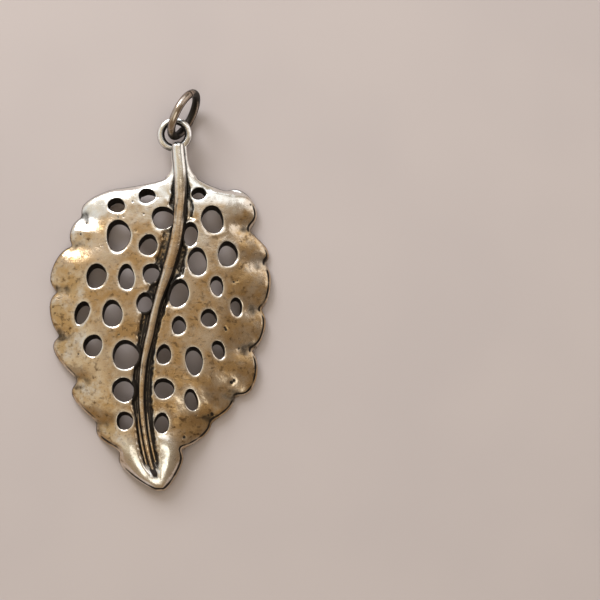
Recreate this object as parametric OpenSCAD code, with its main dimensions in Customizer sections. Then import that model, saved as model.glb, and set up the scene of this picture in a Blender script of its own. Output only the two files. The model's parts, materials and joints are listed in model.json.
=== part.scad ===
// Leaf pendant with a pierced, domed blade, a wire midrib, a hanging eye and an open jump ring.
// Lies face up: +Z is the front of the leaf, +Y runs from the tip to the jump ring.

/* [Leaf blade] */
// Length of the leaf from its tip to its throat
leaf_l = 50.4; // [44:0.1:58]
// Width across the widest scallops
leaf_w = 35.2; // [31:0.1:40]
// Rise of the domed front from the rim to the midrib
crown_h = 2.9; // [2.2:0.1:3.6]
// Wall thickness of the casting
wall_t = 1.2; // [0.9:0.05:1.5]
// Thickness that is left at the scalloped rim
rim_t = 0.85; // [0.6:0.05:1.1]
// Depth of the valley that runs in from each notch of the rim
valley_d = 0.5; // [0:0.05:0.8]
// Reach of the trough beside the midrib, to each side
trough_w = 2.7; // [2.2:0.1:3.2]
// Depth of the trough in the front face
trough_d = 0.55; // [0.3:0.05:0.65]
// Mean radius of the pierced holes
hole_r = 1.6; // [1.2:0.05:1.8]

/* [Neck and eye] */
// Width of the strap that carries the eye
neck_w = 2.35; // [1.8:0.05:3]
// Width of the throat where the strap flares into the leaf
throat_w = 4.9; // [4:0.1:6]
// Distance from the throat to the middle of the eye
neck_l = 6.75; // [6:0.05:7.8]
// Radius of the eye to the middle of its wire
eye_r = 2.2; // [2:0.05:2.5]
// Thickness of the eye's wire
eye_wire = 1.2; // [1:0.05:1.3]
// Offset of the eye to the right of the leaf's tip
eye_x = 2.26; // [1.8:0.01:2.8]
// Depth to which the strap is let into the eye's wire
eye_seat = 0.3; // [0.15:0.05:0.4]

/* [Midrib] */
// Width of the midrib wire at its thick upper end
stem_w = 1.95; // [1.6:0.05:2.3]
// Depth to which the midrib is let into its bed
stem_seat = 0.1; // [0.05:0.01:0.2]
// Width of the two fine veins that follow the midrib to the tip
vein_w = 0.45; // [0.3:0.05:0.6]
// Distance from the midrib to each vein
vein_gap = 0.75; // [0.6:0.05:1]

/* [Jump ring] */
// Outside diameter of the jump ring
ring_od = 8.8; // [8.2:0.1:9.6]
// Thickness of its wire
ring_wire = 1.3; // [1:0.05:1.35]
// Gap where the wire was cut
ring_gap = 0.12; // [0.05:0.01:0.4]
// Turn of the ring about the eye, clockwise from straight up the leaf
ring_turn = 28; // [0:1:60]
// Lean of the ring away from upright
ring_lean = 13.5; // [0:0.5:20]
// Place of the cut round the ring, from its far end
cut_turn = 38; // [20:1:120]
// Air between the standing ring and the surface that the leaf lies on
stand_gap = 0.05; // [0.02:0.01:0.2]

/* [Hidden] */
half_w = leaf_w / 2;

// Corners of the rim from the throat to the tip: place as shares of half_w and leaf_l, then how far
// the edge swells after this corner and before the next one, as shares of the distance between them
left_rim_shares = [
    [0.045, 0.994, -0.10, 0.00], [-0.382, 0.963, 0.06, 0.42], [-0.711, 0.871, 0.28, 0.31],
    [-0.800, 0.779, 0.24, 0.44], [-0.927, 0.633, 0.36, 0.17], [-0.909, 0.492, 0.50, -0.05],
    [-0.748, 0.344, 0.50, -0.08], [-0.567, 0.208, 0.38, -0.06], [-0.355, 0.119, 0.34, 0.05],
    [-0.027, 0.001, 0, 0]
];
right_rim_shares = [
    [0.327, 1.000, -0.13, -0.09], [0.618, 0.957, 0.42, 0.48], [0.818, 0.840, -0.14, 0.52],
    [0.941, 0.725, 0.25, 0.24], [0.905, 0.579, 0.30, 0.28], [0.823, 0.449, 0.28, 0.50],
    [0.677, 0.303, 0.28, 0.10], [0.464, 0.221, 0.27, 0.10], [0.191, 0.133, 0.28, 0.14],
    [0.027, 0.001, 0, 0]
];
lobes = len(left_rim_shares) - 1;
// Corners before this one are shoulders without a notch
first_notch = 2;
lobe_steps = 4;
neck_steps = 4;

// Tables that follow the midrib: one share for each tenth of leaf_l, from the tip upwards
spine_shares = [0, -0.083, -0.136, -0.155, -0.136, -0.077, -0.008, 0.082, 0.155, 0.185, 0.186, 0.162];
stem_shares = [0.22, 0.34, 0.42, 0.48, 0.57, 0.64, 0.73, 0.92, 1, 1, 1, 0.86];
left_trough_shares = [0.15, 0.53, 0.56, 0.70, 0.68, 0.82, 0.97, 1, 1, 0.75, 0.5];
right_trough_shares = [0.15, 0.56, 0.70, 0.70, 0.65, 0.50, 0.65, 1, 0.82, 0.90, 0.5];
crown_shares = [0.12, 0.50, 0.76, 0.90, 0.98, 1, 0.99, 0.96, 0.90, 0.80, 0.66];

// Where the columns of one half of the blade lie: in the trough, then from its lip to the rim
floor_share = 0.6;
flank_shares = [0.28, 0.60, 0.84, 1];
dome_power = 2.3;
valley_power = 2.5;
widest_lip_share = 0.5;
punch_sides = 20;

// The pierced holes: place as shares of half_w and leaf_l, half width and half height as shares of
// hole_r, then the turn of each hole in degrees
hole_shares = [
    [-0.120, 0.936, 0.80, 0.74, 0], [-0.400, 0.907, 0.85, 0.70, 0], [-0.378, 0.809, 1.22, 1.54, 0],
    [-0.105, 0.778, 0.89, 1.04, 0], [-0.577, 0.680, 0.95, 1.26, -15], [-0.301, 0.676, 0.80, 1.23, 0],
    [-0.076, 0.688, 0.84, 0.93, 0], [-0.135, 0.594, 0.76, 1.00, 0], [-0.706, 0.564, 0.68, 1.18, -22],
    [-0.427, 0.560, 1.02, 1.28, 0], [-0.603, 0.459, 0.95, 1.06, 0], [-0.303, 0.429, 1.25, 1.49, 0],
    [-0.323, 0.319, 1.07, 1.19, 0], [-0.311, 0.221, 0.85, 0.85, 0], [0.024, 0.214, 0.71, 1.00, 5],
    [0.043, 0.323, 0.95, 1.02, 0], [0.290, 0.287, 0.63, 1.06, 8], [0.315, 0.411, 0.86, 1.37, 8],
    [0.043, 0.430, 0.69, 0.99, 0], [0.535, 0.446, 0.58, 0.94, 12], [0.447, 0.546, 0.80, 0.83, 0],
    [0.695, 0.583, 0.56, 0.90, 10], [0.177, 0.522, 0.65, 0.91, 0], [0.520, 0.648, 0.61, 0.98, 6],
    [0.176, 0.624, 0.98, 1.34, -12], [0.343, 0.725, 0.92, 1.39, 10], [0.616, 0.750, 0.92, 1.29, -6],
    [0.478, 0.860, 1.10, 1.36, 6], [0.280, 0.813, 0.72, 1.15, 0], [0.353, 0.943, 0.71, 0.59, 0],
    [0.032, 0.865, 1.10, 1.15, 0]
];

// How much of the fall to the rim is left where the neck begins, and how fast the throat closes in
throat_fall_share = 0.3;
throat_power = 6;

// Parts of the midrib: height over width of its section, where its lower end lies, and how its ends
// round off: place as a share of its length, then width as a share of the full one
stem_height_share = 0.8;
stem_sides = 12;
stem_stations = 44;
stem_low_share = 0.02;
stem_end_shares = [[0, 0.45], [0.004, 0.8]];

// Each vein starts and ends thin; a slope is measured over a short step of the leaf's length
vein_sides = 6;
vein_stations = 10;
vein_low_share = 0.055;
vein_high_share = 0.245;
vein_end_share = 0.35;
slope_step_share = 0.01;

// Eye and jump ring
ring_sides = 96;
wire_sides = 32;
eye_y = leaf_l + neck_l;
neck_top = rim_t + valley_d + crown_h * crown_shares[len(crown_shares) - 1];
eye_z = neck_top - wall_t / 2;
ring_r = (ring_od - ring_wire) / 2;
ring_z = ring_r * cos(ring_lean) + ring_wire / 2 + stand_gap;
ring_reach = ring_r * cos(asin((ring_z - eye_z) / (ring_r * cos(ring_lean))));
cut_angle = 360 * ring_gap / (2 * PI * ring_r);

// The middle of the part's length lies over the origin
mid_y = (eye_y + (ring_reach + ring_od / 2) * cos(ring_turn)) / 2;
overrun = 1;

function lerp(a, b, t) = a + (b - a) * t;

// Smooth curve through a table's values at the steps 0, 1, 2 ...
function follow(values, place) =
    let (last = len(values) - 1,
         x = min(max(place, 0), last),
         i = min(floor(x), last - 1),
         t = x - i,
         a = values[max(i - 1, 0)], b = values[i], c = values[i + 1], d = values[min(i + 2, last)])
    b + 0.5 * t * (c - a + t * (2 * a - 5 * b + 4 * c - d + t * (3 * (b - c) + d - a)));

function tenths(shares, y) = follow(shares, 10 * y / leaf_l);
function spine_x(y) = half_w * tenths(spine_shares, y);

// Point at share t of one scallop of the rim; side is -1 on the left and 1 on the right
function rim_point(rim, k, t, side) =
    let (a = [rim[k][0] * half_w, rim[k][1] * leaf_l],
         b = [rim[k + 1][0] * half_w, rim[k + 1][1] * leaf_l],
         out = side * [a.y - b.y, b.x - a.x])
    lerp(a, b, t * t * (3 - 2 * t))
        + 3 * t * (1 - t) * ((1 - t) * rim[k][2] + t * rim[k][3]) * out;

// Front of the blade without its trough: q runs from the midrib to the rim
function dome_z(y, q, valley, fall) =
    rim_t + valley_d + crown_h * tenths(crown_shares, y) * (1 - fall * pow(q, dome_power))
        - valley_d * valley * pow(q, valley_power);
function wall_at(q) = lerp(wall_t, rim_t, pow(q, valley_power));

// The trough starts gently below the throat
function trough_at(y) = trough_d * max(0, min(1, (leaf_l - y) / trough_w));
function bed_z(y) = dome_z(y, 0, 0, 1) - trough_at(y);

// A station of the blade: rim on the left and right, midrib, valley and fall to the rim
function leaf_station(k, t) =
    let (l = rim_point(left_rim_shares, k, t, -1),
         r = rim_point(right_rim_shares, k, t, 1),
         y = (l.y + r.y) / 2,
         corner = k + round(t))
    [l, r, [spine_x(y), y],
     corner < first_notch || corner == lobes ? 0 : pow(cos(180 * t), 2),
     k > 0 ? 1 : lerp(throat_fall_share, 1, t)];
function neck_station(t) =
    let (half = lerp(neck_w, throat_w, pow(1 - t, throat_power)) / 2,
         x = spine_x(lerp(leaf_l, eye_y - eye_r, t)),
         at = [for (px = [x - half, x + half, x]) [px, lerp(leaf_l, eye_edge(px), t)]])
    [at[0], at[1], at[2], 0, throat_fall_share * pow(1 - t, 2)];

// The strap ends on an arc, let a little way into the wire of the eye
function eye_edge(x) = eye_y - sqrt(pow(eye_r + eye_wire / 2 - eye_seat, 2) - pow(x - eye_x, 2));

// One half of a station as [x, y, front z, back z], from the midrib outwards
function half_row(st, edge, trough_shares) =
    let (spine = st[2],
         reach = norm(edge - spine),
         lip = min(trough_w * tenths(trough_shares, spine.y) / reach, widest_lip_share),
         places = concat([0, lip * floor_share, lip], [for (f = flank_shares) lerp(lip, 1, f)]))
    [for (i = [0:len(places) - 1])
        let (q = places[i],
             p = lerp(spine, edge, q),
             top = dome_z(p.y, q, st[3], st[4]))
        [p.x, p.y, i < 2 ? top - trough_at(spine.y) : top, top - wall_at(q * st[4])]];

function full_row(st) =
    let (l = half_row(st, st[0], left_trough_shares),
         r = half_row(st, st[1], right_trough_shares))
    concat([for (i = [len(l) - 1:-1:1]) l[i]], r);

// Closed solid between the fronts and the backs of the rows
module loft(rows) {
    n = len(rows);
    w = len(rows[0]);
    b = n * w;
    polyhedron(
        points = concat([for (row = rows) for (p = row) [p[0], p[1], p[2]]],
                        [for (row = rows) for (p = row) [p[0], p[1], p[3]]]),
        faces = concat(
            [for (i = [0:n - 2]) for (j = [0:w - 2]) let (a = i * w + j)
                each [[a, a + 1, a + w + 1], [a, a + w + 1, a + w],
                      [b + a, b + a + w + 1, b + a + 1], [b + a, b + a + w, b + a + w + 1]]],
            [for (i = [0:n - 2]) let (a = i * w, c = a + w - 1)
                each [[a, a + w, b + a + w], [a, b + a + w, b + a],
                      [c, b + c, b + c + w], [c, b + c + w, c + w]]],
            [for (j = [0:w - 2]) let (a = (n - 1) * w + j)
                each [[j + 1, j, b + j], [j + 1, b + j, b + j + 1],
                      [a, a + 1, b + a + 1], [a, b + a + 1, b + a]]]
        ),
        convexity = 10);
}

// Wire swept through rings of points, closed at both ends
module sweep(rings) {
    n = len(rings);
    m = len(rings[0]);
    polyhedron(
        points = [for (ring = rings) each ring],
        faces = concat(
            [for (i = [0:n - 2]) for (j = [0:m - 1]) let (a = i * m + j, c = i * m + (j + 1) % m)
                each [[a, c, c + m], [a, c + m, a + m]]],
            [[for (j = [m - 1:-1:0]) j]],
            [[for (j = [0:m - 1]) (n - 1) * m + j]]
        ),
        convexity = 6);
}

// Ring of a wire that lies in its bed at a share of the leaf's length
function wire_ring(share, width, side, rise, sides) =
    let (y = share * leaf_l,
         step = slope_step_share * leaf_l,
         along = [spine_x(y + step) - spine_x(y - step), 2 * step],
         across = [along.y, -along.x] / norm(along),
         middle = [spine_x(y), y] + side * across)
    [for (j = [0:sides - 1])
        let (turn = 360 * j / sides,
             p = middle + across * cos(turn) * width / 2)
        [p.x, p.y, bed_z(y) - stem_seat + rise * width / 2 * (1 + sin(turn))]];

module torus(r, wire, turn = 360) {
    rotate_extrude(angle = turn, $fn = ring_sides)
        translate([r, 0]) circle(d = wire, $fn = wire_sides);
}

// A punch with an oval section
module oval_punch(half_width, half_height) {
    linear_extrude(height = crown_h + wall_t + 3 * overrun)
        polygon([for (i = [0:punch_sides - 1])
            let (turn = 360 * i / punch_sides)
            [half_width * cos(turn), half_height * sin(turn)]]);
}

module at_eye() {
    translate([eye_x, eye_y - mid_y, 0]) children();
}

module leaf_blade() {
    neck = [for (i = [0:neck_steps - 1]) neck_station(1 - i / neck_steps)];
    leaf = [for (k = [0:lobes - 1]) for (i = [0:lobe_steps - 1]) leaf_station(k, i / lobe_steps)];
    tip = [leaf_station(lobes - 1, 1)];
    color("#b3a892")
        difference() {
            translate([0, -mid_y, 0]) loft([for (st = concat(neck, leaf, tip)) full_row(st)]);
            for (h = hole_shares)
                translate([h[0] * half_w, h[1] * leaf_l - mid_y, -overrun])
                    rotate(h[4]) oval_punch(h[2] * hole_r, h[3] * hole_r);
        }
}

module midrib_stem() {
    high = (eye_y - eye_r + eye_wire / 2) / leaf_l;
    color("#8f8778")
        translate([0, -mid_y, 0])
            sweep(concat(
                [for (e = stem_end_shares) stem_ring(lerp(stem_low_share, high, e[0]), e[1])],
                [for (i = [1:stem_stations - 1])
                    stem_ring(lerp(stem_low_share, high, i / stem_stations), 1)],
                [for (i = [len(stem_end_shares) - 1:-1:0]) let (e = stem_end_shares[i])
                    stem_ring(lerp(high, stem_low_share, e[0]), e[1])]
            ));
}

function stem_ring(share, round_off) =
    wire_ring(share, round_off * stem_w * tenths(stem_shares, share * leaf_l), 0,
        stem_height_share, stem_sides);

module side_veins() {
    color("#9c9484")
        translate([0, -mid_y, 0])
            for (side = [-1, 1])
                sweep([for (i = [0:vein_stations])
                    let (t = i / vein_stations)
                    wire_ring(lerp(vein_low_share, vein_high_share, t),
                        vein_w * lerp(vein_end_share, 1, sin(180 * t)), side * vein_gap, 1, vein_sides)]);
}

module hanging_eye() {
    color("#d9d6cc") at_eye() translate([0, 0, eye_z]) torus(eye_r, eye_wire);
}

module jump_ring() {
    color("#8a7d6d")
        at_eye()
            rotate(-ring_turn) translate([0, ring_reach, ring_z])
                rotate([0, -ring_lean, 0]) rotate([90, 0, 90])
                    rotate(cut_turn + cut_angle / 2) torus(ring_r, ring_wire, 360 - cut_angle);
}

leaf_blade();
midrib_stem();
side_veins();
hanging_eye();
jump_ring();
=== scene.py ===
import itertools
import json
import math

import bpy
import numpy as np
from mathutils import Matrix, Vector, noise
from mathutils.bvhtree import BVHTree
from mathutils.geometry import delaunay_2d_cdt
from mathutils.kdtree import KDTree


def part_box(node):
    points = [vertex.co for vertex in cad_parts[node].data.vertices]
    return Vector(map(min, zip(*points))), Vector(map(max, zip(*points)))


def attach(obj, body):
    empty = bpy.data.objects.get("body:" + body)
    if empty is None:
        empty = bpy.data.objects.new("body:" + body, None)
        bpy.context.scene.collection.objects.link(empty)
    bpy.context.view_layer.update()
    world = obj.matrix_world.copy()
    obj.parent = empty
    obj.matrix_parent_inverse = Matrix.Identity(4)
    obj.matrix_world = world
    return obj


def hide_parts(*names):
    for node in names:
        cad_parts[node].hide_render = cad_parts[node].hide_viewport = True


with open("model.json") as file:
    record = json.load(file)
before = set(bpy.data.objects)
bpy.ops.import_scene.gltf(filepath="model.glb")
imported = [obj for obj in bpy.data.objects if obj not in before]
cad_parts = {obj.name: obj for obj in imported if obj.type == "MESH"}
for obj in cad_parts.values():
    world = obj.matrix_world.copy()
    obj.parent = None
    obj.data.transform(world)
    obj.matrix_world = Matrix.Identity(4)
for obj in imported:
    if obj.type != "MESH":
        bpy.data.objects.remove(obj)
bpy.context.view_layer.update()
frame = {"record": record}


# The leaf blade: one domed, pierced sheet of zinc alloy with a scalloped rim and a strap that
# carries the eye. It is cast from a hand-cut wax, plated in silver, blackened in the hollows and
# burnished on the high spots.

# The drawing is in millimetres and everything in Blender in metres
MM = 0.001
leaf_length = 50.4
half_width = 35.2 / 2
rim_thickness = 0.85
wall_thickness = 1.2
crown_height = 2.9
valley_depth = 0.5
trough_reach = 2.7
trough_depth = 0.55
hole_radius = 1.6
neck_width = 2.55
throat_width = 4.9
neck_length = 6.75
eye_radius = 2.2
eye_wire = 1.2
eye_x = 2.26

# The drawing of the casting: corners of the rim from the throat to the tip as shares of the half
# width and the length, then the swell of the edge after this corner and before the next one
left_rim_shares = [
    (0.045, 0.994, -0.10, 0.00), (-0.382, 0.963, 0.06, 0.42), (-0.711, 0.871, 0.28, 0.31),
    (-0.800, 0.779, 0.24, 0.44), (-0.927, 0.633, 0.36, 0.17), (-0.909, 0.492, 0.50, -0.05),
    (-0.748, 0.344, 0.50, -0.08), (-0.567, 0.208, 0.38, -0.06), (-0.355, 0.119, 0.34, 0.05),
    (-0.027, 0.001, 0, 0),
]
right_rim_shares = [
    (0.327, 1.000, -0.13, -0.09), (0.618, 0.957, 0.42, 0.48), (0.818, 0.840, -0.14, 0.52),
    (0.941, 0.725, 0.25, 0.24), (0.905, 0.579, 0.30, 0.28), (0.823, 0.449, 0.28, 0.50),
    (0.677, 0.303, 0.28, 0.10), (0.464, 0.221, 0.27, 0.10), (0.191, 0.133, 0.28, 0.14),
    (0.027, 0.001, 0, 0),
]
first_notch = 2
lobes = len(left_rim_shares) - 1

# Tables that follow the midrib: one share for each tenth of the length, from the tip upwards
spine_shares = [0, -0.083, -0.136, -0.155, -0.136, -0.077, -0.008, 0.082, 0.155, 0.185, 0.186, 0.162]
left_trough_shares = [0.15, 0.53, 0.56, 0.70, 0.68, 0.82, 0.97, 1, 1, 0.75, 0.5]
right_trough_shares = [0.15, 0.56, 0.70, 0.70, 0.65, 0.50, 0.65, 1, 0.82, 0.90, 0.5]
crown_shares = [0.12, 0.50, 0.76, 0.90, 0.98, 1, 0.99, 0.96, 0.90, 0.80, 0.66]
stem_width = 1.95
stem_shares = [0.22, 0.34, 0.42, 0.48, 0.57, 0.64, 0.73, 0.92, 1, 1, 1.06, 1.0]
trough_dark_shares = [0.55, 0.9, 1, 1, 1, 1, 0.95, 0.85, 0.65, 0.45, 0.35]
dome_power = 2.3
tip_power = 2.2
wall_power = 2.5
throat_power = 6
throat_fall_share = 0.3

# The pierced holes: place as shares of the half width and the length, half width and half height
# as shares of the mean radius, then the turn in degrees
hole_shares = [
    (-0.120, 0.936, 0.80, 0.74, 0), (-0.400, 0.907, 0.85, 0.70, 0), (-0.378, 0.809, 1.22, 1.54, 0),
    (-0.105, 0.778, 0.89, 1.04, 0), (-0.577, 0.680, 0.95, 1.26, -15), (-0.301, 0.676, 0.80, 1.23, 0),
    (-0.076, 0.688, 0.84, 0.93, 0), (-0.135, 0.594, 0.76, 1.00, 0), (-0.706, 0.564, 0.68, 1.18, -22),
    (-0.427, 0.560, 1.02, 1.28, 0), (-0.603, 0.459, 0.95, 1.06, 0), (-0.303, 0.429, 1.25, 1.49, 0),
    (-0.323, 0.319, 1.07, 1.19, 0), (-0.311, 0.221, 0.85, 0.85, 0), (0.024, 0.214, 0.71, 1.00, 5),
    (0.043, 0.323, 0.95, 1.02, 0), (0.290, 0.287, 0.63, 1.06, 8), (0.315, 0.411, 0.86, 1.37, 8),
    (0.043, 0.430, 0.69, 0.99, 0), (0.535, 0.446, 0.58, 0.94, 12), (0.447, 0.546, 0.80, 0.83, 0),
    (0.695, 0.583, 0.56, 0.90, 10), (0.177, 0.522, 0.65, 0.91, 0), (0.520, 0.648, 0.61, 0.98, 6),
    (0.176, 0.624, 0.98, 1.34, -12), (0.343, 0.725, 0.92, 1.39, 10), (0.616, 0.750, 0.92, 1.29, -6),
    (0.478, 0.860, 1.10, 1.36, 6), (0.280, 0.813, 0.72, 1.15, 0), (0.353, 0.943, 0.71, 0.59, 0),
    (0.032, 0.865, 1.10, 1.15, 0),
]

# Where the drawing's tip lies in the frame, and the sizes that the solid doesn't hold
tip_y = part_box("leaf_blade")[0].y / MM
eye_y = leaf_length + neck_length
edge_step = 0.2
sheet_step = 0.25
hole_edge_reach = 0.48
hole_edge_drop = 0.33
sharp_edge_reach = 0.14
sharp_edge_drop = 0.10
rim_edge_reach = 0.75
rim_edge_drop = 0.42
back_edge_reach = 0.22
hole_slant = 0.60
strap_seat = 0.6
valley_length = 5.2
valley_breadth = 2.1
valley_floor_breadth = 1.1
valley_floor_share = 0.25
valley_cut = 0.90 * valley_depth
crown_cut_share = 0.13
wave_strokes = 30
wave_gain = 0.65
wave_fade_low = (2.0, 6.0)
wave_fade_high = (leaf_length - 1.0, leaf_length - 4.0)
square_share = 0.7
least_wall = 0.18
calm_edge = 0.9
flaw_depth = 0.10
trough_start = (0.8, 5.0)
steep_tip = (11, 6)
ring_shares = [0.08, 0.22, 0.36, 0.55, 0.8, 1.15]


def follow(shares, place):
    """Smooth curve through a table's values at the steps 0, 1, 2 and so on."""
    v = np.asarray(shares, float)
    x = np.clip(np.asarray(place, float), 0, len(v) - 1)
    i = np.minimum(x.astype(int), len(v) - 2)
    t = x - i
    a, b, c, d = v[np.maximum(i - 1, 0)], v[i], v[i + 1], v[np.minimum(i + 2, len(v) - 1)]
    return b + 0.5 * t * (c - a + t * (2 * a - 5 * b + 4 * c - d + t * (3 * (b - c) + d - a)))


def tenths(shares, y):
    """Value at a height of the drawing, from a table with an entry for each tenth of its length."""
    return follow(shares, 10 * np.asarray(y, float) / leaf_length)


def spine_x(y):
    """Place of the midrib across the leaf."""
    return half_width * tenths(spine_shares, y)


def spine_bend(y):
    """Sideways run of the midrib in a millimetre of height."""
    return spine_x(y + 0.5) - spine_x(y - 0.5)


def stem_half(y):
    """Half the width of the midrib's wire."""
    return stem_width / 2 * tenths(stem_shares, y)


def trough_share(y):
    """Share of its full depth that the trough has: none at the tip and at the strap."""
    return np.clip((leaf_length - y) / trough_reach, 0, 1) * smooth(*trough_start, y)


def smooth(low, high, value):
    """Eased step from 0 at low to 1 at high."""
    t = np.clip((value - low) / (high - low), 0, 1)
    return t * t * (3 - 2 * t)


def rim_point(rim, k, t, side):
    """Point at share t of one scallop."""
    a = np.array((rim[k][0] * half_width, rim[k][1] * leaf_length))
    b = np.array((rim[k + 1][0] * half_width, rim[k + 1][1] * leaf_length))
    out = side * np.array((a[1] - b[1], b[0] - a[0]))
    swell = 3 * t * (1 - t) * ((1 - t) * rim[k][2] + t * rim[k][3])
    return a + (b - a) * t * t * (3 - 2 * t) + swell * out


def eye_edge(x):
    """Lower end of the strap: an arc inside the eye's wire."""
    reach = eye_radius + eye_wire / 2 - strap_seat
    return eye_y - math.sqrt(max(reach ** 2 - (x - eye_x) ** 2, 0))


def neck_point(t, side):
    """Edge of the strap at share t of its height; side is -1, 0 or 1."""
    half = (neck_width + (throat_width - neck_width) * (1 - t) ** throat_power) / 2
    x = float(spine_x(leaf_length + (eye_y - eye_radius - leaf_length) * t)) + side * half
    return np.array((x, leaf_length + (eye_edge(x) - leaf_length) * t))


def swept_edge(rim, side):
    """Points of a plain edge that sweeps past the notches from scallop to scallop."""
    places = [rim_point(rim, k, 0, side) for k in range(first_notch)]
    places += [rim_point(rim, k, 0.5, side) for k in range(first_notch - 1, lobes)]
    return np.array([*places, rim_point(rim, lobes - 1, 1, side)])


def neck_station(t):
    """Station across the strap: its edges, its middle and its fall."""
    return *(neck_point(t, side) for side in (-1, 1, 0)), throat_fall_share * (1 - t) ** 2


# A lattice of stations between the swept edges carries the share of the way to the rim and the
# fall towards it, so that they can be read anywhere on the blade
steps = 12
columns = 14
past_the_rim = 1.06
scallop_points = 24
arc_points = 12
hole_points = 48
stations = [neck_station(1 - i / steps) for i in range(steps)]
swept = [swept_edge(left_rim_shares, -1), swept_edge(right_rim_shares, 1)]
for place in np.arange(0, (len(swept[0]) - 1) * steps + 1) / steps:
    left, right = (np.array([follow(edge[:, i], place) for i in (0, 1)]) for edge in swept)
    y = (left[1] + right[1]) / 2
    fall = throat_fall_share + (1 - throat_fall_share) * min(place, 1)
    stations.append((left, right, np.array((float(spine_x(y)), y)), fall))
column_shares = [i / columns for i in range(columns + 1)] + [past_the_rim]
lattice, way, fall_at = [], [], []
for left, right, spine, fall in stations:
    for edge, side in ((left, -1), (right, 1)):
        for share in column_shares[::-1] if side < 0 else column_shares[1:]:
            lattice.append(spine + (edge - spine) * share)
            way.append(side * share)
            fall_at.append(fall)
lattice, way, fall_at = np.array(lattice), np.array(way), np.array(fall_at)
across = 2 * len(column_shares) - 1
cells = []
for i in range(len(stations) - 1):
    for j in range(across - 1):
        a = i * across + j
        cells += [(a, a + 1, a + across + 1), (a, a + across + 1, a + across)]
cells = np.array(cells)
drawing = BVHTree.FromPolygons([(x, y, 0) for x, y in lattice], cells.tolist())


def read_lattice(points):
    """Share of the way to the rim and fall at each point."""
    found = [drawing.find_nearest((x, y, 0)) for x, y in points]
    spots = np.array([f[0][:2] for f in found])
    a, b, c = (lattice[cells[[f[2] for f in found], i]] for i in range(3))
    whole = (b[:, 0] - a[:, 0]) * (c[:, 1] - a[:, 1]) - (c[:, 0] - a[:, 0]) * (b[:, 1] - a[:, 1])
    whole = np.where(np.abs(whole) < 1e-9, 1e-9, whole)
    v = (spots[:, 0] - a[:, 0]) * (c[:, 1] - a[:, 1]) - (c[:, 0] - a[:, 0]) * (spots[:, 1] - a[:, 1])
    w = (b[:, 0] - a[:, 0]) * (spots[:, 1] - a[:, 1]) - (spots[:, 0] - a[:, 0]) * (b[:, 1] - a[:, 1])
    v, w = v / whole, w / whole
    corners = cells[[f[2] for f in found]]
    shares = np.clip(np.column_stack([1 - v - w, v, w]), 0, 1)
    return [np.sum(field[corners] * shares, axis=1) for field in (way, fall_at)]


# A short valley runs in from each notch but the last, beside the tip: its mouth and inner end
notches = []
for rim, side in ((left_rim_shares, -1), (right_rim_shares, 1)):
    for k in range(first_notch, lobes - 1):
        mouth = rim_point(rim, k, 0, side)
        middle = np.array((float(spine_x(mouth[1])), mouth[1]))
        inward = (middle - mouth) / np.linalg.norm(middle - mouth)
        notches.append((mouth, mouth + inward * valley_length))


def beside_line(points, start, end):
    """Share of the way along a straight line, and distance from it, at each point."""
    run = end - start
    t = np.clip((points - start) @ run / (run @ run), 0, 1)
    return t, np.linalg.norm(points - start - run * t[:, None], axis=1)


def dome(points):
    """Height of the domed front with its valleys, the wall, the way to the rim and the valleys."""
    way_there, fall = read_lattice(points)
    to_rim = np.abs(way_there)
    power = dome_power + tip_power * smooth(*steep_tip, points[:, 1])
    rise = crown_height * tenths(crown_shares, points[:, 1]) * (1 - fall * to_rim ** power)
    wall = wall_thickness + (rim_thickness - wall_thickness) * (to_rim * fall) ** wall_power
    valley = np.zeros(len(points))
    for start, end in notches:
        t, away = beside_line(points, start, end)
        fade = 1 - t * t * (3 - 2 * t)
        narrow = np.exp(-(away / valley_floor_breadth) ** 2)
        broad = np.exp(-(away / valley_breadth) ** 2)
        valley = np.maximum(valley, fade * (valley_floor_share * narrow + (1 - valley_floor_share) * broad))
    top = rim_thickness + valley_depth + rise - valley * (valley_cut + crown_cut_share * rise)
    return top, wall, to_rim, valley


def resample(line, step):
    """Even steps along a closed line."""
    closed = np.vstack([line, line[:1]])
    run = np.concatenate([[0], np.cumsum(np.linalg.norm(np.diff(closed, axis=0), axis=1))])
    at = np.linspace(0, run[-1], round(run[-1] / step), endpoint=False)
    return np.column_stack([np.interp(at, run, closed[:, i]) for i in (0, 1)])


def towards_metal(loop):
    """Unit vectors to the left of the way round, where the metal is."""
    along = np.roll(loop, -1, axis=0) - np.roll(loop, 1, axis=0)
    along /= np.linalg.norm(along, axis=1)[:, None]
    return np.column_stack([-along[:, 1], along[:, 0]])


def inside(points, loop):
    """Which points lie inside a closed line."""
    hit = np.zeros(len(points), bool)
    near = np.flatnonzero(np.all((points > loop.min(axis=0)) & (points < loop.max(axis=0)), axis=1))
    x, y = points[near].T
    for a, b in zip(loop, np.roll(loop, -1, axis=0)):
        crosses = (a[1] > y) != (b[1] > y)
        side = x[crosses] < (b[0] - a[0]) * (y[crosses] - a[1]) / (b[1] - a[1]) + a[0]
        hit[near[crosses]] ^= side
    return hit


# The outline runs down the left side, up the right side and round the strap
fine_steps = [i / scallop_points for i in range(scallop_points)]
outline = [rim_point(left_rim_shares, k, t, -1) for k in range(lobes) for t in fine_steps]
outline += [rim_point(right_rim_shares, k, 1 - t, 1) for k in reversed(range(lobes)) for t in fine_steps]
outline += [neck_point(t, 1) for t in fine_steps]
arc_right, arc_left = neck_point(1, 1)[0], neck_point(1, -1)[0]
outline += [np.array((x, eye_edge(x))) for x in np.linspace(arc_right, arc_left, arc_points)]
outline += [neck_point(1 - t, -1) for t in fine_steps[1:]]
outline = resample(np.array(outline), edge_step)


def filed(line, strokes):
    """Closed line with its corners filed round."""
    for _ in range(strokes):
        line = (np.roll(line, 1, axis=0) + 2 * line + np.roll(line, -1, axis=0)) / 4
    return line


def grain(points, size, seed):
    """Smooth noise from -1 to 1 in lumps of about that size."""
    return np.array([noise.noise(Vector((x / size, y / size, seed))) for x, y in points])


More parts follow.
